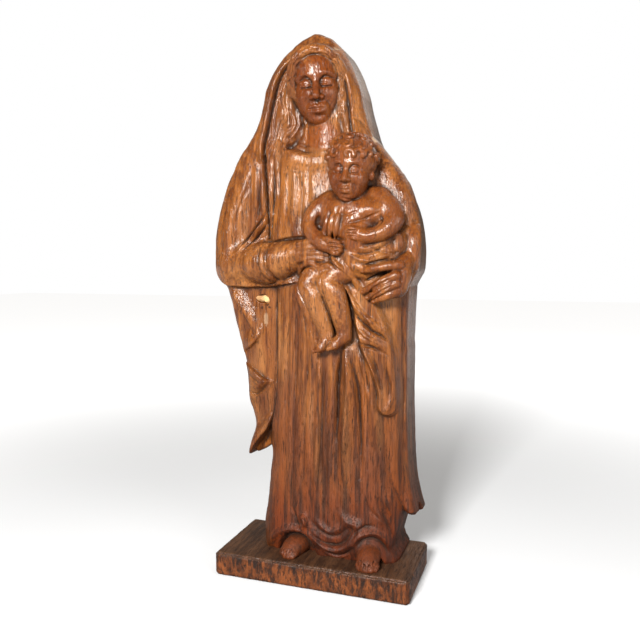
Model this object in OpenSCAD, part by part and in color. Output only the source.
// Carved oak Madonna and child, standing on a separate plinth board.
// Frame: +Z up, the figure faces -Y, origin at the centre of the plinth's underside.

/* [Plinth] */
// Width of the plinth along X
plinth_w = 166; // [156:1:190]
// Depth of the plinth along Y
plinth_d = 80; // [78:1:100]
// Thickness of the plinth board
plinth_h = 20; // [16:1:28]
// Rounding of the plinth's long edges
plinth_edge = 2; // [1:0.5:3]
// Rounding of the plinth's upright corners
plinth_corner = 4; // [3.5:0.5:8]

/* [Figure] */
// Height of the carved figure, without the plinth
figure_h = 426; // [400:1:460]
// Distance of the figure's flat back from the plinth's back edge
back_inset = 4; // [2:0.5:8]
// Radius of the child's head
child_head_r = 19; // [17:0.5:21]
// Half the width of the mother's face
face_r = 18; // [16:0.5:20]

/* [Fixings] */
// Distance between the two wood screws
screw_gap = 40; // [30:1:50]
// Distance between the two dowels
dowel_gap = 84; // [74:1:92]
// Diameter of a dowel
dowel_d = 8; // [6:1:10]
// Length of a dowel
dowel_len = 24; // [18:1:30]
// Outer diameter of the screw thread
screw_d = 4.5; // [4:0.5:5]
// Length of a wood screw under its head
screw_len = 44; // [36:1:60]

/* [Hidden] */

oak = "#8a4b1e";
dark_oak = "#5d3a22";
beech = "#d2a873";
steel = "#9a9a98";
putty = "#dcc489";

back_y = plinth_d / 2 - back_inset;
stretch = figure_h / 426;

// The fixings stand in one row; clearance is all round a pin, end_gap beyond its end.
fixing_x = 8;
fixing_y = 14;
clearance = 0.05;
end_gap = 0.5;
dowel_seat = 12;
dowel_chamfer = 0.8;
dowel_hole_r = dowel_d / 2 + clearance;
shank_r = screw_d / 2 - 0.3;
screw_hole_r = screw_d / 2 + clearance;
screw_root_r = screw_d / 2 - 0.8;
head_r = 4.4;
head_hole_r = head_r + 2 * clearance;
head_cone_h = 3;
head_sink = 4;
slot_w = 1.2;
slot_depth = 1.2;
thread_pitch = 2.2;
thread_from = 15;

// The patch fills a chip in the hanging mantle.
patch_at = [-50, -6, 231];
patch_size = [12, 4, 7];

// Cross-sections of the mantle and veil: height, left edge, right edge, how far the front bulges past the sides
mantle = [
    [97, -64, 72, 3], [104, -66, 72, 5], [120, -64, 71, 7], [145, -69, 71, 8], [175, -71, 71, 8],
    [200, -77, 71, 8], [238, -87, 72, 8], [243, -93, 73, 10], [254, -97, 80, 12], [276, -96, 81, 12],
    [298, -92, 77, 12], [320, -87, 66, 12], [336, -81, 55, 12], [350, -73, 45, 12], [366, -61, 40, 12],
    [384, -54, 34, 12], [404, -48, 28, 12], [422, -38, 20, 12], [433, -29, 12, 10], [441, -19, 4, 7],
    [446, -10, -4, 2]
];
// The same for the lower right end of the mantle
tail = [[58, 68, 84, 2], [66, 62, 80, 4], [78, 54, 75, 5], [104, 40, 72, 6]];
// The same for the robe
robe = [
    [20, -49, 68, 22], [34, -50, 70, 21], [56, -46, 67, 20], [100, -43, 66, 19], [160, -41, 66, 19],
    [220, -39, 64, 19], [270, -40, 60, 17], [320, -38, 46, 13], [346, -28, 34, 8]
];
mantle_side_y = 2;
robe_side_y = -4;

function arc_side(l, side_y, n) = let (c = (l[1] + l[2]) / 2, a = (l[2] - l[1]) / 2)
    [for (i = [0:n]) let (t = 180 * i / n)
        [c - a * sign(cos(t)) * pow(abs(cos(t)), 0.7), side_y - l[3] * pow(sin(t), 0.8), l[0]]];

function section(l, side_y, n) = concat([[l[2], back_y, l[0]], [l[1], back_y, l[0]]], arc_side(l, side_y, n));

// A closed solid through cross-sections, all with a flat back
module loft(levels, side_y, n = 14) {
    rings = [for (l = levels) section(l, side_y, n)];
    m = len(rings[0]);
    k = len(rings);
    points = [for (r = rings) for (p = r) p];
    sides = [for (j = [0:k - 2]) for (i = [0:m - 1])
        let (a = j * m + i, b = j * m + (i + 1) % m) each [[a, b + m, b], [a, a + m, b + m]]];
    polyhedron(points, concat(sides, [[for (i = [0:m - 1]) i]], [[for (i = [m - 1:-1:0]) (k - 1) * m + i]]));
}

// A round limb or fold through points [x, y, z, radius]
module limb(path, fn = 12) {
    for (i = [0:len(path) - 2]) hull() for (p = [path[i], path[i + 1]])
        translate([p[0], p[1], p[2]]) sphere(r = p[3], $fn = fn);
}

module blob(at, radii, fn = 22) {
    translate(at) scale(radii) sphere(r = 1, $fn = fn);
}

module mother_head() {
    translate([0, 0, 397]) rotate([0, 3, 12]) {
        blob([0, 2, 2], [face_r, 19, 26]);
        blob([0, -8, -10], [face_r - 5, 10, 15]);
        // nose, brows, lips and chin
        limb([[0, -17, 3, 1.6], [0, -20, -6, 2.6]], 10);
        for (x = [-1, 1]) limb([[x * 3, -16, 5, 1.6], [x * 12, -13, 4, 1.6]], 8);
        blob([0, -17.5, -14], [5, 2.2, 1.8], 12);
        blob([0, -15, -21], [5, 4, 4], 12);
    }
    limb([[0, 4, 372, 12], [2, 6, 352, 15]]);
    // collar of the robe
    limb([[-27, -5, 360, 3], [-18, -10, 352, 3], [0, -12, 348, 3], [18, -10, 352, 3], [27, -5, 360, 3]], 10);
}

// Wavy locks from the parting down to the chest
module hair() {
    for (k = [0:3]) let (s = 5 + 6 * k)
        limb([[-8 - k, 0, 420 - k, 4], [-18 - s * 0.5, -3, 402, 4.5], [-20 - s * 0.6, 0, 380, 5],
              [-19 - s * 0.6, -4, 362, 4.5], [-17 - s * 0.7, -6, 344 - k, 3.5]], 10);
    limb([[8, 0, 420, 4], [17, -2, 406, 4], [21, 0, 388, 4.5], [22, -2, 372, 4.5], [27, -2, 356, 4]], 10);
}

// The hollow under the veil, which the face and the hair stand in
module niche() {
    hull() {
        blob([-2, -14, 412], [22, 16, 14]);
        blob([-6, -14, 376], [36, 16, 28]);
    }
}

module veil_edge() {
    limb([[-46, -4, 288, 4], [-50, -5, 330, 4], [-50, -5, 362, 4], [-43, -6, 396, 4], [-28, -6, 422, 5],
          [-6, -7, 432, 6], [12, -6, 425, 6], [22, -5, 404, 6], [29, -4, 372, 6], [36, -2, 350, 6]], 10);
}

module right_sleeve() {
    limb([[-60, 2, 340, 12], [-74, 0, 310, 15], [-80, 0, 272, 15], [-78, 0, 256, 14]]);
    limb([[-74, -4, 258, 14], [-46, -12, 261, 17], [-24, -18, 264, 15], [-12, -21, 265, 12]]);
    // hand under the child
    blob([0, -25, 265], [14, 6, 9]);
    for (k = [0:3]) limb([[4, -28, 271 - 4 * k, 3], [16, -29, 269 - 4 * k, 2.6]], 10);
}

module left_sleeve() {
    limb([[44, 6, 344, 12], [64, 4, 312, 13], [68, 2, 272, 12], [68, -6, 262, 12]]);
    limb([[68, -10, 264, 12], [68, -18, 250, 12]]);
    // hand spread over the cloth round the child
    blob([62, -26, 248], [11, 7, 12]);
    for (f = [[44, 259], [42, 251], [44, 244], [50, 238]])
        limb([[60, -29, 249 + (f[1] - 249) * 0.6, 3.6], [f[0], -32, f[1], 2.8]], 10);
}

module child_head() {
    translate([32, -21, 333]) rotate([0, 4, -4]) {
        blob([0, 0, 0], [child_head_r, child_head_r - 2, child_head_r + 3]);
        blob([-2, -6, -9], [child_head_r - 6, 10, 13]);
        limb([[-2, -16, -4, 1.6], [-2, -17, -8, 2]], 8);
        // short curls over the brow and temples
        for (a = [0:36:180]) blob([(child_head_r - 6) * cos(a), -8, 6 + 11 * sin(a)], [6.5, 7, 6.5], 12);
    }
}

module child() {
    child_head();
    limb([[32, -14, 310, 9], [33, -13, 296, 14], [34, -14, 280, 15]]);
    limb([[18, -16, 303, 9], [4, -18, 296, 8.5], [4, -24, 285, 7.5], [15, -29, 275, 5], [23, -31, 271, 5]]);
    limb([[50, -14, 308, 10], [62, -16, 298, 9], [61, -22, 286, 8], [48, -26, 279, 7], [36, -27, 281, 5]]);
    // legs and feet
    limb([[30, -20, 262, 12], [2, -26, 246, 10], [10, -27, 226, 8], [16, -28, 208, 6], [12, -31, 196, 4.5]]);
    limb([[38, -20, 262, 12], [16, -27, 247, 10], [24, -27, 226, 8], [28, -29, 208, 6], [23, -31, 199, 4.5]]);
    // cloth round the lap and its hanging end
    limb([[62, -16, 272, 9], [46, -20, 266, 12], [26, -20, 264, 12], [14, -20, 266, 9]]);
    limb([[40, -18, 256, 14], [46, -18, 226, 12], [56, -16, 196, 9], [62, -16, 168, 6], [64, -15, 146, 4]]);
}

// Long ridges of cloth: each runs down the robe or the mantle
robe_folds = [
    [[-34, -17, 236, 5], [-38, -18, 150, 6], [-42, -17, 34, 7]],
    [[-16, -21, 232, 5], [-20, -22, 140, 6], [-24, -22, 50, 7]],
    [[4, -21, 190, 5], [2, -23, 130, 6], [0, -23, 44, 8]],
    [[28, -20, 186, 6], [24, -23, 120, 7], [28, -23, 46, 9]],
    [[44, -19, 182, 5], [50, -19, 120, 7], [58, -17, 34, 9]]
];

module folds() {
    for (f = robe_folds) limb(f, 10);
    limb([[-26, -10, 344, 4], [-30, -15, 300, 5], [-30, -15, 282, 5]], 10);
    limb([[-8, -12, 346, 5], [-6, -16, 300, 6], [-6, -16, 284, 6]], 10);
    limb([[-84, -2, 234, 4], [-66, -3, 178, 4], [-60, -3, 110, 5]], 10);
}

module foot(x, turn, size) {
    translate([x, -12, plinth_h]) rotate([0, 0, turn]) scale(size) {
        blob([0, -8, 2], [9, 15, 9]);
        for (k = [0:4]) limb([[3.6 * (k - 2), -17, 3, 2.6], [3.6 * (k - 2), -21 + abs(k - 1.5), 2, 2.4]], 8);
    }
}

module fixing_holes() {
    for (s = [-1, 1]) {
        translate([fixing_x + s * dowel_gap / 2, fixing_y, plinth_h - 1])
            cylinder(h = 1 + dowel_len - dowel_seat + end_gap, r = dowel_hole_r, $fn = 48);
        translate([fixing_x + s * screw_gap / 2, fixing_y, plinth_h - 1])
            cylinder(h = 1 + head_sink + screw_len - plinth_h + end_gap, r = screw_hole_r, $fn = 48);
    }
}

module carved_figure() {
    color(oak) difference() {
        union() {
            translate([0, 0, plinth_h]) scale([1, 1, stretch]) translate([0, 0, -plinth_h]) {
                difference() {
                    loft(mantle, mantle_side_y);
                    niche();
                }
                loft(tail, mantle_side_y, 8);
                loft(robe, robe_side_y);
                mother_head();
                hair();
                veil_edge();
                right_sleeve();
                left_sleeve();
                child();
                folds();
            }
            foot(-20, -8, 1);
            foot(44, 10, 1.2);
        }
        // flat back, and the flat foot that the plinth meets
        translate([-200, back_y, -10]) cube([400, 100, figure_h + 100]);
        translate([-200, -200, plinth_h - 50]) cube([400, 400, 50]);
        patch_block();
        fixing_holes();
    }
}

// Outline of the plinth's edge: a rounded corner post, exact in height
module corner_post() {
    arc = [for (a = [-90:15:90]) [plinth_corner - plinth_edge + plinth_edge * cos(a),
        a < 0 ? plinth_edge + plinth_edge * sin(a) : plinth_h - plinth_edge + plinth_edge * sin(a)]];
    rotate_extrude($fn = 32) polygon(concat([[0, 0]], arc, [[0, plinth_h]]));
}

module plinth() {
    color(dark_oak) difference() {
        hull() for (x = [-1, 1], y = [-1, 1])
            translate([x * (plinth_w / 2 - plinth_corner), y * (plinth_d / 2 - plinth_corner), 0])
                corner_post();
        for (s = [-1, 1]) {
            translate([fixing_x + s * dowel_gap / 2, fixing_y, plinth_h - dowel_seat - end_gap])
                cylinder(h = dowel_seat + end_gap + 1, r = dowel_hole_r, $fn = 48);
            translate([fixing_x + s * screw_gap / 2, fixing_y, -1]) {
                cylinder(h = plinth_h + 2, r = screw_hole_r, $fn = 48);
                cylinder(h = 1 + head_sink - head_cone_h, r = head_hole_r, $fn = 48);
                translate([0, 0, 1 + head_sink - head_cone_h])
                    cylinder(h = head_cone_h, r1 = head_hole_r, r2 = screw_hole_r, $fn = 48);
            }
        }
    }
}

module dowel(side) {
    c = dowel_chamfer;
    r = dowel_d / 2;
    color(beech) translate([fixing_x + side * dowel_gap / 2, fixing_y, plinth_h - dowel_seat])
        rotate_extrude($fn = 48)
            polygon([[0, 0], [r - c, 0], [r, c], [r, dowel_len - c], [r - c, dowel_len], [0, dowel_len]]);
}

module screw(side) {
    seat = head_sink - head_cone_h;
    tip = head_sink + screw_len;
    turns = floor((screw_len - thread_from - screw_d) / thread_pitch);
    thread = [for (i = [0:turns - 1]) let (z = head_sink + thread_from + i * thread_pitch) each
        [[screw_root_r, z], [screw_d / 2, z + 0.4 * thread_pitch], [screw_root_r, z + 0.8 * thread_pitch]]];
    color(steel) translate([fixing_x + side * screw_gap / 2, fixing_y, 0]) difference() {
        rotate_extrude($fn = 48) polygon(concat(
            [[0, seat], [head_r, seat], [shank_r, head_sink], [shank_r, head_sink + thread_from - 1]],
            thread, [[screw_root_r, tip - screw_d], [0, tip]]));
        // straight slot across the head
        translate([-head_r - 1, -slot_w / 2, seat - 1]) cube([2 * head_r + 2, slot_w, 1 + slot_depth]);
    }
}

module patch_block() {
    translate(patch_at) cube(patch_size, center = true);
}

module filler_patch() {
    color(putty) intersection() {
        patch_block();
        loft(mantle, mantle_side_y);
    }
}

carved_figure();
plinth();
dowel(-1);  // dowel_left
dowel(1);  // dowel_right
screw(-1);  // screw_left
screw(1);  // screw_right
filler_patch();
